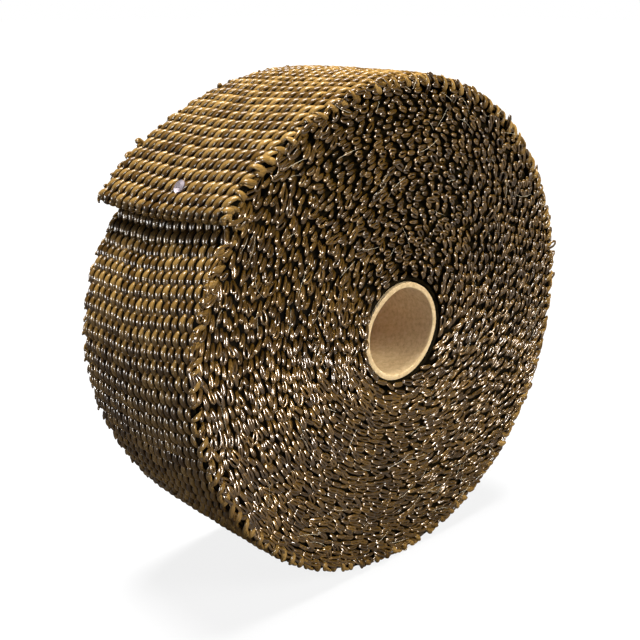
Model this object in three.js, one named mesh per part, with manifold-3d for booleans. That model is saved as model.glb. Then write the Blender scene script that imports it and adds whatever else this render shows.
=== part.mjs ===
// Exhaust heat wrap: a roll of woven basalt tape, wound on a short cardboard tube.
// The roll stands on its rim with its axis along Y, one open end facing -Y.
// The tape's free end is folded under into a hem and held by one small pin.
// Millimetres, +Z up. The origin is on the floor, under the middle of the roll.

import * as THREE from 'three';
import { mergeVertices } from 'three/addons/utils/BufferGeometryUtils.js';
import Module from 'manifold-3d';

// The tape and its winding
const tapeWidth = 50;
const tapeThickness = 1.5;
const windingSlack = 0.1;
const turnCount = 35;
const grooveDepth = 0.7;
const cornerBevel = 0.4;

// The cardboard tube, set back a little inside the winding
const coreBoreRadius = 12.5;
const coreWall = 1.7;
const coreRecess = 1.0;
const coreFitGap = 0.3;

// The free end: where it lifts off the roll, where its hem ends, and how it lies there
const tailStartDegrees = 95;
const tailEndDegrees = 148;
const tailSkewDegrees = 4.8;
const tailLiftPower = 2.5;
const hemGap = 1.6;

// The pin, and its place along the tape from the hem's end and across the tape
const pinHeadRadius = 1.8;
const pinHeadThickness = 0.6;
const pinShankRadius = 0.5;
const pinShankLength = 9;
const pinTipLength = 1.5;
const pinSetback = 6.4;
const pinAcross = -4;
const pinFitGap = 0.3;

// How finely round forms are drawn
const rollSegments = 32;
const pinSegments = 16;
const tailSteps = 14;
const hemEndSteps = 6;

// What follows from the sizes above
const turnPitch = tapeThickness + windingSlack;
const coreOuterRadius = coreBoreRadius + coreWall;
const windingBoreRadius = coreOuterRadius + coreFitGap;
const rollRadius = windingBoreRadius + turnCount * turnPitch;
const halfWidth = tapeWidth / 2;
const halfStep = Math.PI / rollSegments;
const axisHeight = rollRadius * Math.cos(halfStep);
const hemThickness = 2 * tapeThickness;
const tailStart = THREE.MathUtils.degToRad(tailStartDegrees);
const tailEnd = THREE.MathUtils.degToRad(tailEndDegrees);
const tailSkew = THREE.MathUtils.degToRad(tailSkewDegrees);
const pinAngle = tailEnd - pinSetback / rollRadius;

const wasm = await Module();
wasm.setup();

// Turns a closed three.js geometry into a solid that can be joined and cut.
function solidFrom(geometry) {
  const bare = geometry.clone();
  bare.deleteAttribute('normal');
  bare.deleteAttribute('uv');
  const merged = mergeVertices(bare, 1e-4);
  const mesh = new wasm.Mesh({
    numProp: 3,
    vertProperties: new Float32Array(merged.attributes.position.array),
    triVerts: new Uint32Array(merged.index.array),
  });
  return new wasm.Manifold(mesh);
}

// Turns a solid back into a three.js geometry.
function geometryFrom(solid) {
  const mesh = solid.getMesh();
  const geometry = new THREE.BufferGeometry();
  geometry.setAttribute('position', new THREE.BufferAttribute(mesh.vertProperties, 3));
  geometry.setIndex(new THREE.BufferAttribute(mesh.triVerts, 1));
  geometry.computeVertexNormals();
  return geometry;
}

// The radial outline of one end, from the bore outwards: a ridge for each turn's woven edge,
// a groove between turns, and a flat top on the outermost turn.
function endOutline() {
  const outline = [[windingBoreRadius, halfWidth - grooveDepth]];
  for (let turn = 0; turn < turnCount - 1; turn += 1) {
    const inner = windingBoreRadius + turn * turnPitch;
    outline.push([inner + turnPitch / 2, halfWidth]);
    outline.push([inner + turnPitch, halfWidth - grooveDepth]);
  }
  outline.push([rollRadius - turnPitch + cornerBevel, halfWidth]);
  outline.push([rollRadius - cornerBevel, halfWidth]);
  outline.push([rollRadius, halfWidth - cornerBevel]);
  return outline;
}

// The winding as one turned body with its bore, with a flat facet under it.
function turnedWinding() {
  const end = endOutline();
  const front = end.map(([radius, depth]) => new THREE.Vector2(radius, -depth));
  const back = end.map(([radius, depth]) => new THREE.Vector2(radius, depth)).reverse();
  const profile = [...front, ...back, front[0].clone()];
  return new THREE.LatheGeometry(profile, rollSegments, halfStep);
}

// The outer radius of the free end at an angle: it rises from the roll to the hem's height.
function tailOuterRadius(angle) {
  const share = Math.max(0, (angle - tailStart) / (tailEnd - tailStart));
  return rollRadius + (hemThickness + hemGap) * share ** tailLiftPower;
}

// A point in the plane across the roll's axis, at a radius and an angle from +X towards +Z.
function polar(radius, angle) {
  return new THREE.Vector2(radius * Math.cos(angle), radius * Math.sin(angle));
}

// The free end's section: the outer line, the rounded fold of the hem and its underside,
// which leaves a gap over the roll near the end and sinks into the winding before it.
function tailSection() {
  const points = [];
  for (let step = 0; step <= tailSteps; step += 1) {
    const angle = tailStart + (tailEnd - tailStart) * (step / tailSteps);
    points.push(polar(tailOuterRadius(angle), angle));
  }
  const foldRadius = hemThickness / 2;
  const foldCentre = polar(tailOuterRadius(tailEnd) - foldRadius, tailEnd);
  for (let step = 1; step < hemEndSteps; step += 1) {
    const turned = tailEnd + (Math.PI * step) / hemEndSteps;
    points.push(polar(foldRadius, turned).add(foldCentre));
  }
  for (let step = tailSteps; step >= 0; step -= 1) {
    const angle = tailStart + (tailEnd - tailStart) * (step / tailSteps);
    const underside = tailOuterRadius(angle) - hemThickness;
    points.push(polar(Math.max(underside, rollRadius - tapeThickness), angle));
  }
  return new THREE.Shape(points);
}

// Gives each vertex a turn about the roll's axis that grows across the tape.
function skewAcross(geometry) {
  const position = geometry.attributes.position;
  const vertex = new THREE.Vector3();
  const axis = new THREE.Vector3(0, -1, 0);
  for (let index = 0; index < position.count; index += 1) {
    vertex.fromBufferAttribute(position, index);
    vertex.applyAxisAngle(axis, (tailSkew * vertex.y) / tapeWidth);
    position.setXYZ(index, vertex.x, vertex.y, vertex.z);
  }
}

// The free end as a solid band of the tape's width, its hem lying a little askew.
function tailBand() {
  const width = tapeWidth - 2 * cornerBevel;
  const band = new THREE.ExtrudeGeometry(tailSection(), { depth: width, bevelEnabled: false });
  band.rotateX(Math.PI / 2);
  band.translate(0, width / 2, 0);
  skewAcross(band);
  return band;
}

// A turned outline about the pin's own axis, laid radially into the roll at the pin's place.
// Zero on that axis is the tape's surface, and positive points outwards.
function placeOnPin(geometry) {
  const angle = pinAngle + (tailSkew * pinAcross) / tapeWidth;
  const surface = polar(tailOuterRadius(pinAngle), angle);
  geometry.rotateX(Math.PI / 2);
  geometry.rotateY(Math.PI / 2 - angle);
  geometry.translate(surface.x, pinAcross, surface.y);
  return geometry;
}

// The pin: a low domed head, a straight shank and a point.
function pinGeometry() {
  const top = pinFitGap + pinHeadThickness;
  const shoulder = pinFitGap + pinHeadThickness / 2;
  const profile = [
    [0, -pinShankLength],
    [pinShankRadius, pinTipLength - pinShankLength],
    [pinShankRadius, pinFitGap],
    [pinHeadRadius, pinFitGap],
    [pinHeadRadius, shoulder],
    [pinHeadRadius / 2, top],
    [0, top],
  ];
  const points = profile.map(([radius, height]) => new THREE.Vector2(radius, height));
  return placeOnPin(new THREE.LatheGeometry(points, pinSegments));
}

// The hole that the pin's shank makes in the hem and the turns under it.
function pinHole() {
  const depth = pinShankLength + pinFitGap;
  const above = hemThickness;
  const hole = new THREE.CylinderGeometry(
    pinShankRadius + pinFitGap,
    pinShankRadius + pinFitGap,
    depth + above,
    pinSegments,
  );
  hole.translate(0, (above - depth) / 2, 0);
  return placeOnPin(hole);
}

// The wound tape: the turned winding, with the free end joined on and the pin's hole cut.
function woundWrapGeometry() {
  const winding = solidFrom(turnedWinding());
  const withTail = winding.add(solidFrom(tailBand()));
  return geometryFrom(withTail.subtract(solidFrom(pinHole())));
}

// The cardboard tube: an open ring, shorter than the tape is wide.
function coreTubeGeometry() {
  const halfLength = halfWidth - coreRecess;
  const corners = [
    [coreBoreRadius, -halfLength],
    [coreOuterRadius, -halfLength],
    [coreOuterRadius, halfLength],
    [coreBoreRadius, halfLength],
    [coreBoreRadius, -halfLength],
  ];
  const profile = corners.map(([radius, along]) => new THREE.Vector2(radius, along));
  return new THREE.LatheGeometry(profile, rollSegments, halfStep);
}

const wovenBasalt = new THREE.MeshStandardMaterial({
  color: '#a98656',
  roughness: 0.75,
  metalness: 0,
});
const kraftCardboard = new THREE.MeshStandardMaterial({
  color: '#b8926a',
  roughness: 0.9,
  metalness: 0,
});
const nickelledSteel = new THREE.MeshStandardMaterial({
  color: '#cfc8cc',
  roughness: 0.35,
  metalness: 0.9,
});

// Adds one named piece, lifted so that the roll's bottom facet stands on the floor.
function addPiece(group, name, geometry, material) {
  const mesh = new THREE.Mesh(geometry, material);
  mesh.name = name;
  mesh.position.set(0, 0, axisHeight);
  group.add(mesh);
}

const roll = new THREE.Group();
addPiece(roll, 'wound_wrap', woundWrapGeometry(), wovenBasalt);
addPiece(roll, 'core_tube', coreTubeGeometry(), kraftCardboard);
addPiece(roll, 'tail_pin', pinGeometry(), nickelledSteel);

export default roll;
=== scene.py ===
# %% [markdown]
# # A roll of woven exhaust wrap
# Exhaust wrap is a narrow tape woven from basalt yarn. It is wound on a cardboard tube, and its
# free end is folded under and held by a pin. Nearly all of its look comes from yarn: floats on
# the rim, and the turned edges of 35 turns on each end of the roll. So this lesson makes the
# yarns themselves, as short closed strands worked out with whole numpy arrays. A bump map on a
# plain disc would be cheaper, but its outline would stay a plain disc and no strand could shade
# the next one.
# Everything is in metres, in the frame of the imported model.

import math

import bpy
import numpy as np
from mathutils import Matrix, Vector


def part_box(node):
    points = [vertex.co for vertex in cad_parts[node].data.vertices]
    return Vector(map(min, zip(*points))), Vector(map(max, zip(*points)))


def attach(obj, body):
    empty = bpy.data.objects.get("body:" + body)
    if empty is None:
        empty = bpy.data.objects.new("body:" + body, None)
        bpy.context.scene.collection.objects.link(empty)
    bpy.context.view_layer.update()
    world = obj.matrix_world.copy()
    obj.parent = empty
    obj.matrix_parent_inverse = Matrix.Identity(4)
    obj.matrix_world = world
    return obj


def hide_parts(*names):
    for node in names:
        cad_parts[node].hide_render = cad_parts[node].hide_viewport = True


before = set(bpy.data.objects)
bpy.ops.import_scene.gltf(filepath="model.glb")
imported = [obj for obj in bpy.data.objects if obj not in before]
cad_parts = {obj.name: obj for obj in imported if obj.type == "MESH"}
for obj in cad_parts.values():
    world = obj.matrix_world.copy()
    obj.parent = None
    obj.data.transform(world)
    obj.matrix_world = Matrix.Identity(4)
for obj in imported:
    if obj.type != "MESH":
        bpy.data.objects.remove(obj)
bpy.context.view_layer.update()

core_low, core_high = (np.array(corner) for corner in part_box("core_tube"))
wrap_low, wrap_high = (np.array(corner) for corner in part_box("wound_wrap"))
MM = 0.001
AXIS_HEIGHT = (core_low[2] + core_high[2]) / 2
ROLL_RADIUS = AXIS_HEIGHT
TAPE_WIDTH = wrap_high[1] - wrap_low[1]
HALF_WIDTH = TAPE_WIDTH / 2
CORE_OUTER = (core_high[0] - core_low[0]) / 2
print(f"roll radius {ROLL_RADIUS / MM:.1f} mm, tape {TAPE_WIDTH / MM:.1f} mm wide")

# %% [markdown]
# ## From rings of points to a mesh
# A strand, a bead and a tube are all the same thing to a mesh: a row of rings, each ring a few
# points round the strand. Blender could make them from curves with a bevel, but thousands of
# curve objects are slow, and a bevel can't swell and flatten along its length. Here one array
# holds every ring of every strand, and one function skins them all into a single mesh.

# %% Skin rings of points into one closed mesh
def signed_volume(points, triangles):
    """Six times the enclosed volume: the sum of a . (b x c) over the triangles."""
    a, b, c = (points[triangles[:, k]] for k in range(3))
    return float(np.einsum("ij,ij->i", a, np.cross(b, c)).sum())


def new_piece(name, points, quads, triangles, corner_uv, tone, material):
    """Makes a mesh object from vertex, quad and triangle arrays, with a UV for each face corner
    and one tone for each vertex. Faces are turned round if the enclosed volume is negative."""
    as_triangles = np.vstack([quads[:, [0, 1, 2]], quads[:, [0, 2, 3]], triangles])
    if signed_volume(points, as_triangles) < 0:
        quads, triangles = quads[:, ::-1], triangles[:, ::-1]
        quad_uv = corner_uv[: quads.size].reshape(-1, 4, 2)[:, ::-1].reshape(-1, 2)
        triangle_uv = corner_uv[quads.size:].reshape(-1, 3, 2)[:, ::-1].reshape(-1, 2)
        corner_uv = np.vstack([quad_uv, triangle_uv])
    corners = np.concatenate([quads.ravel(), triangles.ravel()]).astype(np.int32)
    totals = np.concatenate([np.full(len(quads), 4), np.full(len(triangles), 3)]).astype(np.int32)
    starts = np.concatenate([[0], np.cumsum(totals)[:-1]]).astype(np.int32)
    mesh = bpy.data.meshes.new(name)
    mesh.vertices.add(len(points))
    mesh.vertices.foreach_set("co", points.astype(np.float32).ravel())
    mesh.loops.add(len(corners))
    mesh.loops.foreach_set("vertex_index", corners)
    mesh.polygons.add(len(totals))
    mesh.polygons.foreach_set("loop_start", starts)
    mesh.polygons.foreach_set("loop_total", totals)
    mesh.update(calc_edges=True)
    mesh.shade_smooth()
    mesh.uv_layers.new(name="along_and_round")
    mesh.uv_layers[0].data.foreach_set("uv", corner_uv.astype(np.float32).ravel())
    tones = mesh.attributes.new("tone", "FLOAT", "POINT")
    tones.data.foreach_set("value", tone.astype(np.float32))
    mesh.materials.append(material)
    piece = bpy.data.objects.new(name, mesh)
    bpy.context.scene.collection.objects.link(piece)
    print(f"{name}: {len(quads) * 2 + len(triangles)} triangles")
    return piece


def skin_rings(name, rings, lengths, tone, material, joined=False):
    """rings is an array (strands, steps, sides, 3). Neighbouring rings are joined by quads. With
    joined, the last ring meets the first; otherwise each end closes in a fan round its middle.
    lengths is the length in metres of each strand, for the UV."""
    strands, steps, sides, _ = rings.shape
    per_strand = steps * sides
    base = np.arange(strands)[:, None, None] * per_strand
    step_count = steps if joined else steps - 1
    step = np.arange(step_count)[None, :, None]
    side = np.arange(sides)[None, None, :]
    next_step = (step + 1) % steps
    next_side = (side + 1) % sides
    quads = np.stack([
        base + step * sides + side,
        base + step * sides + next_side,
        base + next_step * sides + next_side,
        base + next_step * sides + side,
    ], axis=-1).reshape(-1, 4)
    along = lengths[:, None, None] / step_count
    u0 = np.broadcast_to(step * along, (strands, step_count, sides))
    u1 = np.broadcast_to((step + 1) * along, (strands, step_count, sides))
    v0 = np.broadcast_to(side / sides, (strands, step_count, sides))
    v1 = v0 + 1 / sides
    quad_uv = np.stack([u0, v0, u0, v1, u1, v1, u1, v0], axis=-1).reshape(-1, 2)
    points = rings.reshape(-1, 3)
    tones = np.repeat(tone, per_strand)
    triangles = np.zeros((0, 3), dtype=int)
    triangle_uv = np.zeros((0, 2))
    if not joined:
        poles = np.concatenate([rings[:, 0].mean(axis=1), rings[:, -1].mean(axis=1)])
        first_pole = len(points) + np.arange(strands)[:, None]
        last_pole = first_pole + strands
        ring = base[:, :, 0] + np.arange(sides)[None, :]
        ring_next = base[:, :, 0] + (np.arange(sides)[None, :] + 1) % sides
        last = (steps - 1) * sides
        start_fan = np.stack([np.broadcast_to(first_pole, ring.shape), ring_next, ring], axis=-1)
        end_fan = np.stack(
            [np.broadcast_to(last_pole, ring.shape), ring + last, ring_next + last], axis=-1
        )
        triangles = np.concatenate([start_fan.reshape(-1, 3), end_fan.reshape(-1, 3)])
        triangle_uv = np.zeros((len(triangles) * 3, 2))
        triangle_uv[len(triangle_uv) // 2:, 0] = np.repeat(lengths, sides * 3)
        points = np.vstack([points, poles])
        tones = np.concatenate([tones, tone, tone])
    corner_uv = np.vstack([quad_uv, triangle_uv])
    return new_piece(name, points, quads, triangles, corner_uv, tones, material)


def normalised(vectors):
    """Each vector divided by its own length."""
    return vectors / np.linalg.norm(vectors, axis=-1, keepdims=True)


def sweep(paths, up, wide, thick, sides, joined=False):
    """Rings carried along paths (strands, steps, 3). Each ring is an ellipse: wide is its half
    width across `up`, thick its half height along `up`. Both may change from step to step."""
    if joined:
        tangent = np.roll(paths, -1, axis=1) - np.roll(paths, 1, axis=1)
    else:
        tangent = np.gradient(paths, axis=1)
    tangent = normalised(tangent)
    across = normalised(np.cross(tangent, np.broadcast_to(up, paths.shape)))
    out = np.cross(across, tangent)
    turn = np.arange(sides) * (2 * math.pi / sides)
    wide = np.broadcast_to(wide, paths.shape[:2])[:, :, None, None]
    thick = np.broadcast_to(thick, paths.shape[:2])[:, :, None, None]
    ring = across[:, :, None, :] * wide * np.cos(turn)[None, None, :, None]
    ring = ring + out[:, :, None, :] * thick * np.sin(turn)[None, None, :, None]
    return paths[:, :, None, :] + ring


def path_lengths(paths):
    """The length of each path: the sum of the distances between its points."""
    return np.linalg.norm(np.diff(paths, axis=1), axis=-1).sum(axis=1)


# %% [markdown]
# ## Colours and a node helper
# Hex colours are written as a paint or yarn chart gives them, in sRGB, and one function turns
# them to the linear values that shaders work in. One more function adds a node, sets what it
# needs and links it.

# %% Colour and node helpers
def linear(hex_colour):
    """sRGB hex to linear: c / 12.92 below 0.04045, else ((c + 0.055) / 1.055) ** 2.4."""
    channels = [int(hex_colour[i:i + 2], 16) / 255 for i in (1, 3, 5)]
    return tuple(c / 12.92 if c <= 0.04045 else ((c + 0.055) / 1.055) ** 2.4 for c in channels) + (1.0,)


def add_node(material, kind, settings=None, inputs=None):
    """Adds a node, sets its own settings, then sets or links each named or numbered input."""
    node = material.node_tree.nodes.new(kind)
    for key, value in (settings or {}).items():
        setattr(node, key, value)
    for key, value in (inputs or {}).items():
        if isinstance(value, bpy.types.NodeSocket):
            material.node_tree.links.new(value, node.inputs[key])
        else:
            node.inputs[key].default_value = value
    return node


def set_ramp(node, stops):
    """Gives a colour ramp its stops, a list of (position, hex colour)."""
    ramp = node.color_ramp
    while len(ramp.elements) < len(stops):
        ramp.elements.new(0.5)
    for element, (position, colour) in zip(ramp.elements, stops):
        element.position = position
        element.color = linear(colour)


def new_material(name):
    """A material with nodes, and its Principled shader."""
    material = bpy.data.materials.new(name)
    material.use_nodes = True
    return material, material.node_tree.nodes["Principled BSDF"]


# %% [markdown]
# ## Basalt yarn
# The tape's yarn is drawn from melted basalt rock and finished with a golden brown coating. It is
# a bundle of glass-like filaments that all run one way, so it shines as brushed metal does: a
# bundle lights up across its whole width where the light and the eye are square to it, and is
# dark brown elsewhere. An anisotropic metallic share gives that, turned a quarter so that the
# highlight lies across the strand. Basalt is no metal, and the share only borrows a metal's way of
# shining: the turned edges have half, the floats almost none. A clear coat gives the white glints.
# Real filaments are 0.015 mm thick, too fine to show, so the striations here are 0.2 mm apart.
# They follow the strand through its own UV map: U is metres along the strand and V goes once
# round it. The tone attribute makes each strand lighter or darker than its neighbour.

# %% The basalt yarn material
STRIATION = 0.2 * MM


def basalt_yarn(name, dark, middle, light, roughness, round_mm, shine, coat):
    """Yarn whose colour runs from dark to light with its tone, with striations along it.
    round_mm is the distance round the strand, which sets how many striations fit on it."""
    material, shader = new_material(name)
    along = add_node(material, "ShaderNodeTangent", {
        "direction_type": "UV_MAP", "uv_map": "along_and_round",
    })
    material.node_tree.links.new(along.outputs["Tangent"], shader.inputs["Tangent"])
    shader.inputs["Metallic"].default_value = shine
    shader.inputs["Anisotropic"].default_value = 0.7
    shader.inputs["Anisotropic Rotation"].default_value = 0.25
    shader.inputs["Coat Weight"].default_value = coat
    shader.inputs["Coat Roughness"].default_value = 0.14
    shader.inputs["Coat IOR"].default_value = 1.8
    uv = add_node(material, "ShaderNodeUVMap", {"uv_map": "along_and_round"})
    stretch = add_node(material, "ShaderNodeMapping", inputs={
        "Vector": uv.outputs["UV"],
        "Scale": (1 / (12 * STRIATION), round_mm * MM / STRIATION, 1.0),
    })
    streaks = add_node(material, "ShaderNodeTexNoise", inputs={
        "Vector": stretch.outputs["Vector"], "Scale": 1.0, "Detail": 2.0, "Roughness": 0.6,
    })
    tone = add_node(material, "ShaderNodeAttribute", {"attribute_name": "tone"})
    place = add_node(material, "ShaderNodeTexCoord")
    patches = add_node(material, "ShaderNodeTexNoise", inputs={
        "Vector": place.outputs["Object"], "Scale": 90.0, "Detail": 2.0,
    })
    mix_a = add_node(material, "ShaderNodeMath", {"operation": "MULTIPLY_ADD"}, {
        0: streaks.outputs["Fac"], 1: 0.7, 2: tone.outputs["Fac"],
    })
    mix_b = add_node(material, "ShaderNodeMath", {"operation": "MULTIPLY_ADD"}, {
        0: patches.outputs["Fac"], 1: 0.5, 2: mix_a.outputs[0],
    })
    spread = add_node(material, "ShaderNodeMapRange", inputs={
        "Value": mix_b.outputs[0], "From Min": 0.6, "From Max": 1.6,
    })
    ramp = add_node(material, "ShaderNodeValToRGB", inputs={"Fac": spread.outputs["Result"]})
    set_ramp(ramp, [(0.0, dark), (0.5, middle), (1.0, light)])
    bump = add_node(material, "ShaderNodeBump", inputs={
        "Height": streaks.outputs["Fac"], "Strength": 0.5, "Distance": 0.06 * MM,
    })
    links = material.node_tree.links
    links.new(ramp.outputs["Color"], shader.inputs["Base Color"])
    links.new(bump.outputs["Normal"], shader.inputs["Normal"])
    shader.inputs["Roughness"].default_value = roughness
    shader.inputs["Specular IOR Level"].default_value = 0.02 + 0.6 * shine
    return material


float_yarn = basalt_yarn("woven_basalt_yarn", "#4E350F", "#8E6E39", "#B5965F", 0.6, 5.0, 0.05, 0.25)
loop_yarn = basalt_yarn("turned_basalt_yarn", "#4A3208", "#75541A", "#9C7834", 0.40, 2.4, 0.5, 1.0)
# Near-black yarn: painted shade for the slots between floats and the gaps between turns, not the yarn's
# own golden brown.
painted_shade_yarn = basalt_yarn("painted_shade_basalt_yarn", "#0E0A04", "#1A1408", "#2A2010", 0.7, 5.0, 0.0, 0.0)
print("yarn materials made")

# %% [markdown]
# ## The way the tape runs
# The tape's outer face follows one line from its hidden folded end, round the fold, and then back
# along the roll. Everything on the outermost turn is placed by its distance along that line, so
# the weave bends round the fold with the tape. The line is worked out once, finely, and looked
# up by distance. It could be a Blender curve with objects following it, but then each strand
# would need its own modifier.

# %% The winding and the free end
TURN_COUNT = 35
BORE_RADIUS = CORE_OUTER + 0.3 * MM
TURN_PITCH = (ROLL_RADIUS - BORE_RADIUS) / TURN_COUNT
TAPE_THICK = 1.5 * MM
LIP_ANGLE = math.radians(146.5)
TAIL_ARC = math.radians(51.5)
TAIL_RISE = 4.8 * MM
TAIL_POWER = 2.5
FOLD_RADIUS = 2.2 * MM
FOLD_REACH = 3.6 * MM
FOLD_EASE = 14 * MM
FOLD_ARC = math.pi * (FOLD_RADIUS + FOLD_REACH) / 2
HEM_LENGTH = 20 * MM
UNDER_LIP_DROP = 1.3 * MM
LOOSE_LEFT = 2.6 * MM
LOOSE_MIDDLE = math.radians(177)
LOOSE_SPREAD = math.radians(33)
PUFF = 0.5 * MM


def left_bulge(angle):
    """How far the loose outer turns stand out on the left: a bell over the angle."""
    off = (angle - LOOSE_MIDDLE + math.pi) % (2 * math.pi) - math.pi
    return LOOSE_LEFT * np.exp(-((off / LOOSE_SPREAD) ** 2))


def rim_radius(travel):
    """Radius of the outermost turn's surface by the angle travelled from the lip: the roll's
    radius, plus the free end's rise, plus a loose bulge on the left, less a little where this
    turn passes under the lip. Low on the roll it is cut to the floor."""
    share = np.clip(1 - travel / TAIL_ARC, 0, 1)
    late = np.clip((travel - math.radians(343)) / math.radians(13), 0, 1)
    late = late * late * (3 - 2 * late)
    behind = np.clip((travel - math.radians(180)) / math.radians(60), 0, 1)
    radius = ROLL_RADIUS + PUFF + TAIL_RISE * share ** TAIL_POWER
    radius = radius + left_bulge(LIP_ANGLE - travel) * behind - UNDER_LIP_DROP * late
    down = np.clip(-np.sin(LIP_ANGLE - travel), 0.5, 1)
    return np.minimum(radius, (AXIS_HEIGHT - 0.1 * MM) / down)


def tape_line():
    """The outer face of the last turn as (distance, position x z, outward normal x z). Distance
    is 0 at the lip, grows along the roll and is negative round the fold and under the hem."""
    travel = np.linspace(0, 2 * math.pi + 0.5, 4000)
    angle = LIP_ANGLE - travel
    radius = rim_radius(travel)
    top = np.stack([radius * np.cos(angle), radius * np.sin(angle)], axis=1)
    tangent = normalised(np.gradient(top, axis=0))
    normal = np.stack([-tangent[:, 1], tangent[:, 0]], axis=1)
    distance = np.concatenate([[0], np.cumsum(np.linalg.norm(np.diff(top, axis=0), axis=1))])
    turn = np.linspace(math.pi, 0, 60, endpoint=False)[:, None]
    centre = top[0] - normal[0] * FOLD_RADIUS
    fold_normal = normal[0] * np.cos(turn) - tangent[0] * np.sin(turn)
    fold = centre + normal[0] * np.cos(turn) * FOLD_RADIUS - tangent[0] * np.sin(turn) * FOLD_REACH
    under_count = int(np.searchsorted(distance, HEM_LENGTH))
    ease = np.clip(distance / FOLD_EASE, 0, 1)[:, None]
    ease = ease * ease * (3 - 2 * ease)
    layers = 2 * (FOLD_RADIUS + (TAPE_THICK - FOLD_RADIUS) * ease)
    under = (top - normal * layers)[1:under_count][::-1]
    under_normal = -normal[1:under_count][::-1]
    under_distance = -distance[1:under_count][::-1] - FOLD_ARC
    distances = np.concatenate([under_distance, -turn[:, 0] * FOLD_ARC / math.pi, distance])
    return distances, np.vstack([under, fold, top]), np.vstack([under_normal, fold_normal, normal])


LINE_DISTANCE, LINE_PLACE, LINE_NORMAL = tape_line()
BEND_START = 4 * MM
CROWN_BACK = 0.8 * MM
CROWN_FRONT = 0.5 * MM
CORNER_LIFT = 1.8 * MM


def bend_at(distance):
    """How far the rows are pulled round at the tape's front edge, as an angle about the roll:
    2.3 degrees at the lip, 4.2 degrees on the left of the roll."""
    left = np.clip((distance - 0.01) / 0.06, 0, 1)
    return np.radians(2.3 + 1.9 * left * left * (3 - 2 * left))


def on_tape(distance, across, height):
    """Points at a distance along the tape's line, a place across it and a height off its face.
    The tape is a little lower towards its edges, its rows bend towards the front edge, and the
    free end's far corner stands off the roll."""
    place = np.stack([np.interp(distance, LINE_DISTANCE, LINE_PLACE[:, k]) for k in (0, 1)], -1)
    normal = np.stack([np.interp(distance, LINE_DISTANCE, LINE_NORMAL[:, k]) for k in (0, 1)], -1)
    crown = CROWN_BACK * np.clip((across - 6 * MM) / (HALF_WIDTH - 6 * MM), 0, 1) ** 2
    crown = crown + CROWN_FRONT * np.clip((-across - 15 * MM) / (HALF_WIDTH - 15 * MM), 0, 1) ** 2
    sky = np.clip(place[..., 1] / ROLL_RADIUS + 0.9, 0, 0.4) / 0.4
    near_lip = np.clip(1 - distance / (60 * MM), 0, 1) ** 1.5
    lift = CORNER_LIFT * near_lip * np.clip(across / HALF_WIDTH, 0, 1)
    place = place + normalised(normal) * height[..., None]
    place = place * (1 + (lift - crown * sky) / np.linalg.norm(place, axis=-1))[..., None]
    share = (BEND_START - across) / (HALF_WIDTH + BEND_START)
    turn = -bend_at(distance) * np.clip(share, 0, None) ** 1.3
    x = place[..., 0] * np.cos(turn) - place[..., 1] * np.sin(turn)
    z = place[..., 0] * np.sin(turn) + place[..., 1] * np.cos(turn)
    return np.stack([x, np.broadcast_to(across, x.shape), z + AXIS_HEIGHT], axis=-1)


print(f"tape line from {LINE_DISTANCE[0] / MM:.0f} to {LINE_DISTANCE[-1] / MM:.0f} mm")

# %% [markdown]
# ## Floats on the rim
# The tape is a plain weave with thick warp yarns along it and thin wefts across. Each warp rises
# over one weft and dives under the next, so what shows is a brick pattern of short leaf-shaped
# floats with dark slots between them. A displaced surface would round the slots off, so each
# float is a closed strand of its own: an ellipse carried along a path that rises and dives.

# %% Floats: one strand for each warp over each weft
WARP_COUNT = 34
WARP_SPACING = 1.44 * MM
WEFT_SPACING = 3.75 * MM
FLOAT_LENGTH = 5.5 * MM
FLOAT_WIDE = 0.94 * MM
FLOAT_THICK = 0.55 * MM
FLOAT_DIVE = 0.64 * MM
LEAN_DEGREES = 22
LEAN_LOST_DEGREES = 29
LEAN_LOSS_START = 360 * MM
LEAN_LOSS_LENGTH = 26 * MM


def float_grid(first, last):
    """Warp and weft numbers of every float between two distances along the tape: the warps that
    are up on a weft are every second one, and the next weft takes the others."""
    rows = np.arange(math.ceil(first / WEFT_SPACING), math.ceil(last / WEFT_SPACING))
    row, warp = np.meshgrid(rows, np.arange(WARP_COUNT), indexing="ij")
    up = (row + warp) % 2 == 0
    return row[up], warp[up]


def floats(name, first, last, material):
    """All floats between two distances. Along each, h is the share from end to end: its half
    width is sqrt(1 - h^2), fuller towards one end, and its height follows a cosine. Floats lean
    across the tape, but on the upper left of the roll they lean the other way."""
    rng = np.random.default_rng(7)
    row, warp = float_grid(first, last)
    count = len(row)
    share = np.linspace(-1, 1, 9)[1:-1] * 1.03
    share = np.sign(share) * np.abs(share) ** 0.9
    x = share[None, :] * (FLOAT_LENGTH / 2) * rng.normal(1, 0.03, (count, 1))
    distance = (row[:, None] + 0.5) * WEFT_SPACING + x + rng.normal(0, 0.12 * MM, (count, 1))
    upper_left = np.clip((row[:, None] * WEFT_SPACING - LEAN_LOSS_START) / LEAN_LOSS_LENGTH, 0, 1)
    lean = np.radians(LEAN_DEGREES - LEAN_LOST_DEGREES * upper_left)
    lean = lean + rng.normal(0, 0.04, (count, 1))
    middle = (warp[:, None] - (WARP_COUNT - 1) / 2) * WARP_SPACING
    across = middle - x * np.tan(lean) + rng.normal(0, 0.07 * MM, (count, 1))
    fullness = np.sqrt(np.clip(1 - share ** 2, 0.02, 1))[None, :]
    leaf = fullness * (1 - 0.18 * share[None, :])
    rise = FLOAT_DIVE * (np.cos(math.pi * x / WEFT_SPACING) - 1)
    height = rise - FLOAT_THICK + rng.normal(0, 0.05 * MM, (count, 1))
    paths = on_tape(distance, across, height)
    above = on_tape(distance, across, height + MM)
    wide = FLOAT_WIDE * leaf * rng.normal(1, 0.05, (count, 1))
    thick = FLOAT_THICK * fullness ** 0.7
    rings = sweep(paths, normalised(above - paths), wide, thick, 8)
    tone = rng.uniform(0.0, 0.5, count)
    return skin_rings(name, rings, path_lengths(paths), tone, material)


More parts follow.
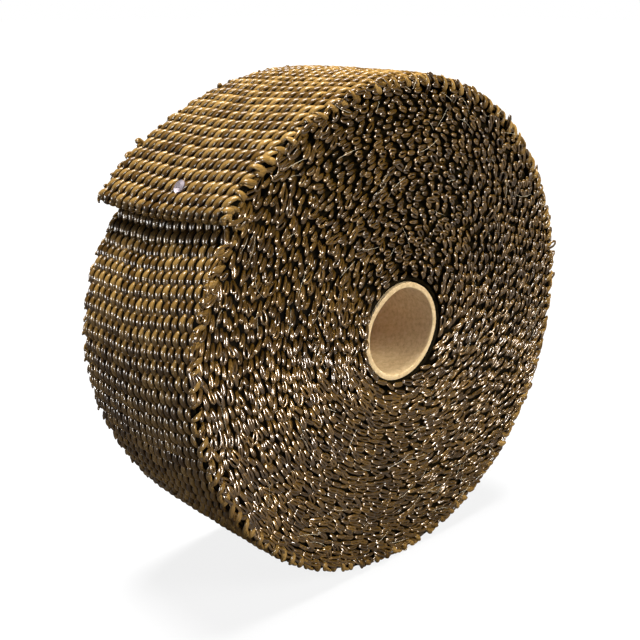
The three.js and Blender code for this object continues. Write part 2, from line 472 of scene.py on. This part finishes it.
HALF_TURN = math.pi * ROLL_RADIUS
TURN_END = 2 * HALF_TURN + 8 * MM
floats_top = floats("warp_floats_top", LINE_DISTANCE[0], HALF_TURN, float_yarn)
floats_under = floats("warp_floats_under", HALF_TURN, TURN_END, float_yarn)

# %% [markdown]
# ## The tape under its floats
# Between floats one looks into the tape. A plain closed band stands for the wefts and the lower half of
# the warps there, and it is coloured near black as painted shade for the slots. It follows the same
# line, so it also folds round the hem.

# %% The band that carries the floats
BAND_TOP = -1.15 * MM
BAND_BOTTOM = -1.7 * MM
BAND_HALF_WIDTH = HALF_WIDTH - 0.9 * MM


def tape_band(name, material):
    """A closed band: at each distance along the tape a ring of points goes across its outer side
    and back across its inner side."""
    distance = np.concatenate([
        np.linspace(LINE_DISTANCE[0], 0, 40, endpoint=False),
        np.linspace(0, TURN_END, 300),
    ])
    side = np.linspace(-1, 1, 9) * BAND_HALF_WIDTH
    across = np.concatenate([side, side[::-1]])
    height = np.concatenate([np.full(9, BAND_TOP), np.full(9, BAND_BOTTOM)])
    grid_distance, grid_across = np.meshgrid(distance, across, indexing="ij")
    grid_height = np.broadcast_to(height, grid_distance.shape)
    rings = on_tape(grid_distance, grid_across, grid_height)[None]
    length = np.array([distance[-1] - distance[0]])
    return skin_rings(name, rings, length, np.array([0.2]), material)


# The band is coloured near black: painted shade in the slots between floats.
band = tape_band("tape_under_floats", painted_shade_yarn)

# %% [markdown]
# ## The turns inside
# Inside the outermost turn the tape only shows its edge. One turned body fills the roll, with a ridge
# for each turn on both ends, and it is coloured near black as painted shade in the gaps between the
# loops. The roll is loose near the core: the first turn hugs the cardboard, and a crescent of air parts
# it from the rest, low on the right. The first turn is coloured near black too, as painted shade.

# %% Where each inner turn runs
CRESCENT_GAP = 1.1 * MM
CRESCENT_ANGLE = math.radians(-45)
CRESCENT_SPREAD = 0.9
CRESCENT_FADE = 4.0


def crescent(angle):
    """The gap's share by angle: a bell round its middle, 1 there and near 0 half a turn away."""
    return np.exp((np.cos(angle - CRESCENT_ANGLE) - 1) / CRESCENT_SPREAD ** 2)


def waviness(angle, turn, seed):
    """A smooth wander from -1 to 1 by angle and turn: four slow waves whose phases drift."""
    phases = np.random.default_rng(seed).uniform(0, 2 * math.pi, 4)
    total = sum(
        np.sin(order * angle + phases[order - 1] + turn * (0.13 * order)) / order
        for order in (1, 2, 3, 4)
    )
    return total / 2.08


def turn_radius(angle, turn):
    """Middle radius of a turn, counted outwards from 0: evenly spaced, pushed out by the
    crescent where it is near the core and by the loose bulge where it is near the rim, with a
    slow wander."""
    even = BORE_RADIUS + (turn + 0.5) * TURN_PITCH
    loose = np.where(turn >= 0.999, CRESCENT_GAP * np.exp(-(turn - 1) / CRESCENT_FADE), 0)
    room = np.clip((TURN_COUNT - turn) / 6, 0, 1)
    slack = left_bulge(angle) * np.clip(turn / TURN_COUNT, 0, 1) ** 4
    return even + loose * crescent(angle) + slack + 0.35 * MM * waviness(angle, turn, 3) * room


def turn_depth(angle, turn, seed):
    """How far a turn's edge stands out or sinks in at one end of the roll."""
    return 0.45 * MM * waviness(angle, turn * 2.3, seed)


def wound_body(name, material):
    """One closed ring: at each angle a ring of points goes out across the front end, over the
    rim and back across the back end. The rim stops two turns short of the outermost turn."""
    angle = np.linspace(0, 2 * math.pi, 181)[:-1]
    ridge = np.arange(2 * (TURN_COUNT - 4) + 1) / 2 + 1.5
    turn_grid = np.broadcast_to(ridge - 0.5, (len(angle), len(ridge)))
    angle_grid = np.broadcast_to(angle[:, None], turn_grid.shape)
    radius = turn_radius(angle_grid, turn_grid)
    radius[:, -1] = radius[:, -2] + 0.4 * MM
    sunk = np.where(np.arange(len(ridge)) % 2 == 0, 1.5, 0.9) * MM
    front = HALF_WIDTH - sunk + turn_depth(angle_grid, turn_grid, 11) - 0.2 * MM
    back = HALF_WIDTH - sunk + turn_depth(angle_grid, turn_grid, 12) - 0.2 * MM
    radii = np.concatenate([radius, radius[:, ::-1]], axis=1)
    along = np.concatenate([-front, back[:, ::-1]], axis=1)
    x = radii * np.cos(angle[:, None])
    z = radii * np.sin(angle[:, None]) + AXIS_HEIGHT
    rings = np.stack([x, along, z], axis=-1)[None]
    length = np.array([2 * math.pi * ROLL_RADIUS])
    return skin_rings(name, rings, length, np.array([0.2]), material, joined=True)


# The body is coloured near black: painted shade in the gaps between the turns' loops.
body = wound_body("inner_turns", painted_shade_yarn)


def first_turn(name, material):
    """The turn that hugs the core: a thin closed ring, a little shorter than the tape."""
    angle = np.linspace(0, 2 * math.pi, 121)[:-1]
    radii = BORE_RADIUS + np.array([0.05, 1.2, 1.2, 0.05]) * MM
    along = (HALF_WIDTH - 1.2 * MM) * np.array([-1, -1, 1, 1])
    x = np.cos(angle)[:, None] * radii
    z = np.sin(angle)[:, None] * radii + AXIS_HEIGHT
    rings = np.stack([x, np.broadcast_to(along, x.shape), z], axis=-1)[None]
    length = np.array([2 * math.pi * BORE_RADIUS])
    return skin_rings(name, rings, length, np.array([0.3]), material, joined=True)


# The first turn is coloured near black: painted shade beside the crescent of air.
hugging_turn = first_turn("first_turn", painted_shade_yarn)

# %% [markdown]
# ## The turned edges
# At each edge the weft turns back over the last warp, so every turn's edge is a chain of small
# loops, 3.75 mm apart. On the end of the roll they lie packed side by side, and they give the
# end its curly, glinting look. Each loop is a closed ring with a teardrop outline: wide and
# raised at its head, narrow and tucked under the last head at its foot. All the loops of an end
# are one sweep of an array of ring paths.

# %% Loops along the inner turns
LOOP_SIDES = 5
LOOP_STEPS = 11
LOOP_HALF_LENGTH = 1.65 * MM
LOOP_HALF_WIDTH = 0.50 * MM
LOOP_YARN = 0.38 * MM
LOOP_RISE = 0.55 * MM


def inner_places(first_turn_number, last_turn_number):
    """Angle and turn number of each loop along the spiral, spaced evenly along the tape."""
    turn = np.linspace(first_turn_number, last_turn_number, 20000)
    run = np.concatenate([[0], np.cumsum(np.diff(turn) * 2 * math.pi * (
        BORE_RADIUS + (turn[1:] + 0.5) * TURN_PITCH))])
    stations = np.arange(0.5, run[-1] / WEFT_SPACING) * WEFT_SPACING
    at = np.interp(stations, run, turn)
    return LIP_ANGLE + 2 * math.pi * at, at


def teardrop(count, rotate, grow, spread):
    """Closed teardrop outlines (along, out, up) in their own plane, turned a little by rotate.
    grow scales a loop and spread opens or closes it."""
    t = np.arange(LOOP_STEPS) * (2 * math.pi / LOOP_STEPS)
    along = LOOP_HALF_LENGTH * np.cos(t)
    out = LOOP_HALF_WIDTH * np.sin(t) * (0.85 + 0.35 * np.cos(t))
    up = LOOP_RISE * (0.9 * np.cos(t) - 0.35 * np.cos(2 * t))
    along = along[None, :] * grow
    out = out[None, :] * grow * spread
    turned_along = along * np.cos(rotate) - out * np.sin(rotate)
    turned_out = along * np.sin(rotate) + out * np.cos(rotate)
    return turned_along, turned_out, np.broadcast_to(up, (count, LOOP_STEPS))


def end_loops(name, side, first_turn_number, last_turn_number, seed):
    """Loops of the inner turns on one end of the roll, side -1 in front and 1 behind. In front,
    the outermost loops are larger and lie more askew, as loose says."""
    rng = np.random.default_rng(seed)
    angle, turn = inner_places(first_turn_number, last_turn_number)
    count = len(angle)
    angle = angle[:, None] + rng.normal(0, 0.3 * MM, (count, 1)) / (turn[:, None] * TURN_PITCH + 0.014)
    turn = turn[:, None]
    loose = np.exp((turn - TURN_COUNT + 1) / 1.6) * (0.7 if side < 0 else 0.0)
    rotate = rng.normal(0.10, 0.26, (count, 1)) + rng.normal(0, 0.4, (count, 1)) * loose
    grow = np.clip(rng.normal(1, 0.15, (count, 1)), 0.7, 1.5) + 0.5 * loose
    spread = rng.uniform(0.35, 1.35, (count, 1))
    along, out, up = teardrop(count, rotate, grow, spread)
    tilt = rng.normal(0, 0.35, (count, 1))
    up = up + out * tilt + rng.normal(0, 0.22 * MM, (count, 1))
    radius = turn_radius(angle, turn) + rng.normal(0, 0.10 * MM, (count, 1))
    depth = HALF_WIDTH - 0.55 * MM + turn_depth(angle, turn, 11 if side < 0 else 12)
    at_radius = radius + out
    at_angle = angle + along / radius
    paths = np.stack([
        at_radius * np.cos(at_angle),
        side * (depth + up),
        at_radius * np.sin(at_angle) + AXIS_HEIGHT,
    ], axis=-1)
    yarn = LOOP_YARN * rng.normal(1, 0.08, (count, 1))
    rings = sweep(paths, np.array([0.0, side, 0.0]), yarn * 1.15, yarn * 0.7, LOOP_SIDES, joined=True)
    tone = rng.uniform(0.0, 0.5, count)
    lengths = np.full(count, 4.6 * LOOP_HALF_LENGTH)
    return skin_rings(name, rings, lengths, tone, loop_yarn, joined=True)


INNER_LAST = TURN_COUNT - 0.9
SPLIT_TURN = 24.0
front_outer_loops = end_loops("front_edge_loops_outer", -1, SPLIT_TURN, INNER_LAST, 21)
front_inner_loops = end_loops("front_edge_loops_inner", -1, 0.0, SPLIT_TURN, 22)
back_outer_loops = end_loops("back_edge_loops_outer", 1, SPLIT_TURN, INNER_LAST - 1.5, 23)
back_inner_loops = end_loops("back_edge_loops_inner", 1, 0.0, SPLIT_TURN, 24)

# %% [markdown]
# ## The outermost edge
# On the outermost turn the weft is seen to wrap over the corner: a broad tongue of yarn comes
# over the rim, folds down on the end and tucks back in. Each tongue is a flattened strand on a
# path bent round the corner.

# %% Tongues of weft over the roll's corners
def corner_tongues(name, side, seed):
    """One tongue for each weft of the outermost turn. Its path starts on the rim, goes over the
    corner and turns back in below it: an arc of 200 degrees in the plane across the tape."""
    rng = np.random.default_rng(seed)
    station = np.arange(LINE_DISTANCE[0] + WEFT_SPACING, TURN_END - WEFT_SPACING, WEFT_SPACING)
    count = len(station)
    t = np.linspace(0, 1, 10)[None, :]
    turn = np.radians(78 - 200 * t)
    reach_out = (1.05 + rng.normal(0, 0.15, (count, 1))) * MM
    reach_down = (1.5 + rng.normal(0, 0.2, (count, 1))) * MM
    centre_across = side * (HALF_WIDTH - 1.1 * MM)
    centre_height = -1.75 * MM
    across = centre_across + side * reach_out * np.cos(turn)
    height = centre_height + reach_down * np.sin(turn)
    slide = (t - 0.4) * (2.6 + rng.normal(0, 0.9, (count, 1))) * MM
    distance = station[:, None] + slide + rng.normal(0, 0.3 * MM, (count, 1))
    paths = on_tape(distance, across, height)
    middle = on_tape(distance, np.full_like(across, centre_across), np.full_like(height, centre_height))
    fat = np.sin(math.pi * np.linspace(0.14, 0.92, 10))[None, :]
    wide = 0.85 * MM * fat * rng.normal(1, 0.12, (count, 1))
    thick = 0.4 * MM * fat ** 0.5
    rings = sweep(paths, normalised(paths - middle), wide, thick, 8)
    return skin_rings(name, rings, path_lengths(paths), rng.uniform(0.1, 0.5, count), float_yarn)


front_tongues = corner_tongues("front_corner_tongues", -1, 31)
back_tongues = corner_tongues("back_corner_tongues", 1, 32)

# %% [markdown]
# ## Stray filaments
# Some basalt filaments break at the edges and stand off the roll as fine straight hairs. They are
# 0.1 mm thick here, thicker than the real ones, so that they show.

# %% Stray filaments on the ends
def stray_filaments(name, side, count, seed):
    """Fine strands on one end, each a straight line with a slight bow, at random places."""
    rng = np.random.default_rng(seed)
    radius = ROLL_RADIUS * np.sqrt(rng.uniform(0.1, 0.97, (count, 1)))
    angle = rng.uniform(0, 2 * math.pi, (count, 1))
    heading = angle + math.pi / 2 + rng.normal(0, 0.5, (count, 1))
    length = rng.uniform(3, 9, (count, 1)) * MM
    t = np.linspace(-0.5, 0.5, 6)[None, :]
    bow = rng.normal(0, 0.08, (count, 1)) * length * (1 - 4 * t ** 2)
    x = radius * np.cos(angle) + t * length * np.cos(heading) - bow * np.sin(heading)
    z = radius * np.sin(angle) + t * length * np.sin(heading) + bow * np.cos(heading)
    lift = rng.uniform(0.2, 0.7, (count, 1)) * MM + (t + 0.5) * rng.uniform(0, 0.9, (count, 1)) * MM
    paths = np.stack([x, side * (HALF_WIDTH + lift), z + AXIS_HEIGHT], axis=-1)
    thin = 0.055 * MM * (1 - 0.5 * np.abs(t) * 2)
    rings = sweep(paths, np.array([0.0, side, 0.0]), thin, thin, 4)
    return skin_rings(name, rings, path_lengths(paths), np.full(count, 0.5), filament)


filament, filament_shader = new_material("loose_basalt_filament")
filament_shader.inputs["Base Color"].default_value = linear("#C9BCA0")
filament_shader.inputs["Roughness"].default_value = 0.22
filament_shader.inputs["IOR"].default_value = 1.55
front_strays = stray_filaments("front_stray_filaments", -1, 90, 41)
back_strays = stray_filaments("back_stray_filaments", 1, 90, 42)

# %% [markdown]
# ## The cardboard core
# The core is a paper tube, wound from strips of kraft board on a slant and cut to length. It is
# matt, mottled with short fibres, and not quite round. A turned ring whose radius wavers by
# angle gives that, with soft edges where the saw left them.

# %% The core's shape
CORE_BORE = 12.5 * MM
CORE_HALF_LENGTH = (core_high[1] - core_low[1]) / 2


def core_profile():
    """The wall's outline as (radius, along): a long rectangle whose corners are quarter arcs."""
    soft = 0.35 * MM
    corners = [(CORE_BORE, -1, -1), (CORE_OUTER, 1, -1), (CORE_OUTER, 1, 1), (CORE_BORE, -1, 1)]
    points = []
    for index, (radius, out, end) in enumerate(corners):
        start = math.pi + index * math.pi / 2
        turn = start + np.linspace(0, math.pi / 2, 4)
        centre = (radius - out * soft, end * (CORE_HALF_LENGTH - soft))
        points.append(np.stack([centre[0] + soft * np.cos(turn), centre[1] + soft * np.sin(turn)], 1))
    return np.vstack(points)


def board_tube(name, material):
    """The profile turned round the axis. Its radius wavers from 0.3 mm less to 0.1 mm more."""
    profile = core_profile()
    angle = np.linspace(0, 2 * math.pi, 145)[:-1][:, None]
    waver = 0.22 * MM * np.sin(2 * angle + 0.6) + 0.08 * MM * np.sin(5 * angle)
    radius = profile[None, :, 0] + np.minimum(waver, 0.1 * MM)
    along = profile[None, :, 1] + 0.12 * MM * np.sin(3 * angle + 1) * np.sign(profile[None, :, 1])
    x = radius * np.cos(angle)
    z = radius * np.sin(angle) + AXIS_HEIGHT
    rings = np.stack([x, np.broadcast_to(along, x.shape), z], axis=-1)[None]
    length = np.array([2 * math.pi * CORE_BORE])
    return skin_rings(name, rings, length, np.array([0.0]), material, joined=True)


kraft, kraft_shader = new_material("wound_kraft_board")
kraft_place = add_node(kraft, "ShaderNodeTexCoord")
kraft_fibres = add_node(kraft, "ShaderNodeTexNoise", inputs={
    "Vector": kraft_place.outputs["Object"], "Scale": 900.0, "Detail": 4.0, "Roughness": 0.65,
})
kraft_ramp = add_node(kraft, "ShaderNodeValToRGB", inputs={"Fac": kraft_fibres.outputs["Fac"]})
set_ramp(kraft_ramp, [(0.25, "#AC8E62"), (0.5, "#CCAF80"), (0.8, "#DDC59B")])
kraft_bump = add_node(kraft, "ShaderNodeBump", inputs={
    "Height": kraft_fibres.outputs["Fac"], "Strength": 0.4, "Distance": 0.1 * MM,
})
kraft.node_tree.links.new(kraft_ramp.outputs["Color"], kraft_shader.inputs["Base Color"])
kraft.node_tree.links.new(kraft_bump.outputs["Normal"], kraft_shader.inputs["Normal"])
kraft_shader.inputs["Roughness"].default_value = 0.92
core = board_tube("cardboard_core", kraft)

# %% [markdown]
# ## The pin
# The pin that holds the hem is nickelled steel with a low domed head. Its CAD node has the right
# shape, so it only gets its metal.

# %% The pin's metal
nickel, nickel_shader = new_material("nickelled_steel")
nickel_place = add_node(nickel, "ShaderNodeTexCoord")
nickel_grain = add_node(nickel, "ShaderNodeTexNoise", inputs={
    "Vector": nickel_place.outputs["Object"], "Scale": 4000.0, "Detail": 2.0,
})
nickel_bump = add_node(nickel, "ShaderNodeBump", inputs={
    "Height": nickel_grain.outputs["Fac"], "Strength": 0.3, "Distance": 0.02 * MM,
})
nickel.node_tree.links.new(nickel_bump.outputs["Normal"], nickel_shader.inputs["Normal"])
nickel_shader.inputs["Base Color"].default_value = linear("#8F858A")
nickel_shader.inputs["Metallic"].default_value = 1.0
nickel_shader.inputs["Roughness"].default_value = 0.5
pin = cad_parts["tail_pin"]
pin.data.materials.clear()
pin.data.materials.append(nickel)

# %% [markdown]
# ## Putting the pieces on the frame
# The roll has no joints, so every piece rides on the one body. The woven pieces together stand
# for the turned solid, and the board tube for the core's solid.

# %% Ride and replaced nodes
wrap_pieces = [
    floats_top, floats_under, band, body, hugging_turn, front_outer_loops, front_inner_loops,
    back_outer_loops, back_inner_loops, front_tongues, back_tongues, front_strays, back_strays,
]
for piece in wrap_pieces:
    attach(piece, "root")
    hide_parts("wound_wrap")
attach(core, "root")
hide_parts("core_tube")
print(f"{len(wrap_pieces)} woven pieces")

# %% [markdown]
# ## Floor, light and camera
# A white floor and a white sky would light the underside of every yarn and wash out the dark
# slots. So both are dim as light sources: the floor's own colour is dark grey and the sky is faint.
# Only rays from the camera see them near white, through the Light Path node. A wide sun overhead
# makes the top of the roll bright. Two panels, one low behind the left side and one before the end
# face, give glints alone, and a fill before the end face gives all but glints. A plain white floor
# with a single softbox would be simpler, but the rim would be as bright as the top.

# %% Floor and lights
LAMP_DISTANCE = 0.8


def area_light(name, direction, width, height, power):
    """An area light that looks at the roll's middle from a direction."""
    light = bpy.data.lights.new(name, "AREA")
    light.shape = "RECTANGLE"
    light.size = width
    light.size_y = height
    light.energy = power
    lamp = bpy.data.objects.new(name, light)
    away = Vector(direction).normalized()
    lamp.location = Vector((0, 0, AXIS_HEIGHT)) + away * LAMP_DISTANCE
    lamp.rotation_mode = "QUATERNION"
    lamp.rotation_quaternion = away.to_track_quat("Z", "Y")
    bpy.context.scene.collection.objects.link(lamp)
    return lamp


FLOOR_GREY = (0.07, 0.07, 0.07, 1)
FLOOR_SHOWN_LIFT = 0.84
SKY_AS_LIGHT = 0.035
floor_mesh = bpy.data.meshes.new("studio_floor")
reach = 6.0
floor_mesh.from_pydata(
    [(-reach, -reach, 0), (reach, -reach, 0), (reach, reach, 0), (-reach, reach, 0)], [], [(0, 1, 2, 3)]
)
floor = bpy.data.objects.new("studio_floor", floor_mesh)
bpy.context.scene.collection.objects.link(floor)
card, card_shader = new_material("grey_floor_card")
card_shader.inputs["Base Color"].default_value = FLOOR_GREY
card_shader.inputs["Roughness"].default_value = 0.9
card_seen = add_node(card, "ShaderNodeLightPath")
card_lift = add_node(card, "ShaderNodeMath", {"operation": "MULTIPLY"}, {
    0: card_seen.outputs["Is Camera Ray"], 1: FLOOR_SHOWN_LIFT,
})
card_shader.inputs["Emission Color"].default_value = (1, 1, 1, 1)
card.node_tree.links.new(card_lift.outputs[0], card_shader.inputs["Emission Strength"])
floor_mesh.materials.append(card)

world = bpy.data.worlds.new("white_studio")
bpy.context.scene.world = world
world.use_nodes = True
sky = world.node_tree.nodes["Background"]
sky.inputs["Color"].default_value = (1, 1, 1, 1)
seen = world.node_tree.nodes.new("ShaderNodeLightPath")
dim = world.node_tree.nodes.new("ShaderNodeMapRange")
dim.inputs["To Min"].default_value = SKY_AS_LIGHT
dim.inputs["To Max"].default_value = 1.0
world.node_tree.links.new(seen.outputs["Is Camera Ray"], dim.inputs["Value"])
world.node_tree.links.new(dim.outputs["Result"], sky.inputs["Strength"])

key = bpy.data.lights.new("overhead_light", "SUN")
key.energy = 10.4
key.angle = math.radians(30)
key_lamp = bpy.data.objects.new("overhead_light", key)
key_lamp.rotation_mode = "QUATERNION"
key_lamp.rotation_quaternion = Vector((0.08, 0.08, 0.99)).to_track_quat("Z", "Y")
bpy.context.scene.collection.objects.link(key_lamp)
glint_panel = area_light("glint_panel", (-0.72, 0.69, 0.06), 0.14, 0.20, 9.0)
glint_panel.visible_diffuse = False
face_panel = area_light("face_panel", (-0.54, -0.84, 0.06), 0.20, 0.30, 14.0)
face_panel.visible_diffuse = False
front_fill = area_light("front_fill", (0.30, -0.90, 0.45), 0.30, 0.30, 8.0)
front_fill.visible_glossy = False
bpy.context.scene.view_settings.view_transform = "Standard"
bpy.context.scene.view_settings.look = "None"

# %% The camera, at the photograph's viewing angle
AZIMUTH = math.radians(-42.50)
ELEVATION = math.radians(17.88)
CAMERA_DISTANCE = 0.2972
IMAGE_SIDE = 640
FOCAL_PIXELS = 1003.8
ROLL_CENTRE_PIXELS = (342.9, 312.7)
SENSOR = 36.0
back_way = Vector((
    math.sin(AZIMUTH) * math.cos(ELEVATION),
    -math.cos(AZIMUTH) * math.cos(ELEVATION),
    math.sin(ELEVATION),
))
right_way = Vector((math.cos(AZIMUTH), math.sin(AZIMUTH), 0))
up_way = back_way.cross(right_way)
camera_data = bpy.data.cameras.new("camera")
camera_data.sensor_width = SENSOR
camera_data.lens = FOCAL_PIXELS / IMAGE_SIDE * SENSOR
camera_data.clip_start = 0.01
camera = bpy.data.objects.new("camera", camera_data)
per_pixel = CAMERA_DISTANCE / FOCAL_PIXELS
off_right = (ROLL_CENTRE_PIXELS[0] - IMAGE_SIDE / 2) * per_pixel
off_down = (ROLL_CENTRE_PIXELS[1] - IMAGE_SIDE / 2) * per_pixel
camera.location = (
    Vector((0, 0, AXIS_HEIGHT)) + back_way * CAMERA_DISTANCE - right_way * off_right + up_way * off_down
)
camera.rotation_mode = "QUATERNION"
camera.rotation_quaternion = Matrix((right_way, up_way, back_way)).transposed().to_quaternion()
bpy.context.scene.collection.objects.link(camera)
bpy.context.scene.camera = camera
print(f"camera lens {camera_data.lens:.1f} mm")
